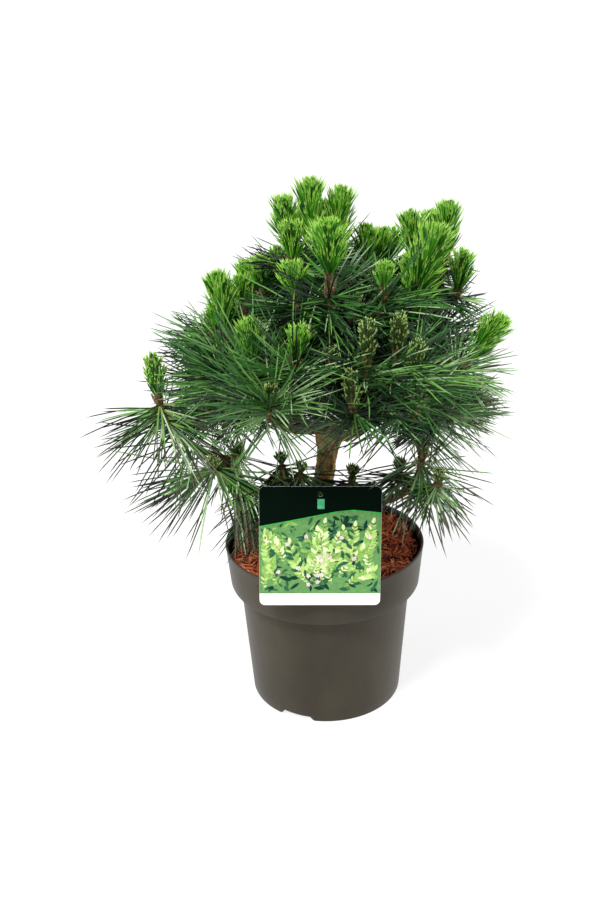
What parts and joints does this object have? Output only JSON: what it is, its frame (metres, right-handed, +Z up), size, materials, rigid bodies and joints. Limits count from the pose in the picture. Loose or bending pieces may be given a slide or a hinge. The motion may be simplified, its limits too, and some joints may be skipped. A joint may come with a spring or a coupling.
{
  "type": "potted dwarf japanese black pine",
  "caption": "Young dwarf black pine with upright new candles and long dark needles, in a tapered round nursery pot with bark mulch and a leaning picture label.",
  "frame": {"origin": "middle of the pot's flat underside, on the ground", "axes": "+Z up along the pot's axis, -Y towards the front where the label leans, +X to the right as seen from the front"},
  "size_m": [0.3951, 0.3925, 0.499],
  "materials": {
    "pot": "injection-moulded taupe grey plastic, satin",
    "growing_medium": "shredded red-brown bark mulch over potting mix",
    "plant_label": "printed plastic card, semi-gloss",
    "trunk": "young scaly bark",
    "boughs": "rough young bark",
    "foliage": "dark green needles with yellow-green new growth"
  },
  "bodies": {
    "root": {"bough_back": "boughs", "bough_back_left": "boughs", "bough_back_right": "boughs", "bough_crest": "boughs", "bough_crest_front": "boughs", "bough_front": "boughs", "bough_front_left": "boughs", "bough_front_right": "boughs", "bough_left_crest": "boughs", "bough_left_upper": "boughs", "bough_low_back": "boughs", "bough_low_back_left": "boughs", "bough_low_back_right": "boughs", "bough_low_front_left": "boughs", "bough_low_front_right": "boughs", "bough_low_left": "boughs", "bough_low_right": "boughs", "bough_middle_back": "boughs", "bough_middle_front": "boughs", "bough_right": "boughs", "bough_right_crest": "boughs", "bough_right_upper": "boughs", "foliage_back": "foliage", "foliage_back_left": "foliage", "foliage_back_right": "foliage", "foliage_crest": "foliage", "foliage_crest_front": "foliage", "foliage_front": "foliage", "foliage_front_left": "foliage", "foliage_front_right": "foliage", "foliage_left_crest": "foliage", "foliage_left_upper": "foliage", "foliage_low_back": "foliage", "foliage_low_back_left": "foliage", "foliage_low_back_right": "foliage", "foliage_low_front_left": "foliage", "foliage_low_front_right": "foliage", "foliage_low_left": "foliage", "foliage_low_right": "foliage", "foliage_middle_back": "foliage", "foliage_middle_front": "foliage", "foliage_right": "foliage", "foliage_right_crest": "foliage", "foliage_right_upper": "foliage", "growing_medium": "growing_medium", "plant_label": "plant_label", "pot": "pot", "trunk": "trunk"}
  },
  "joints": []
}
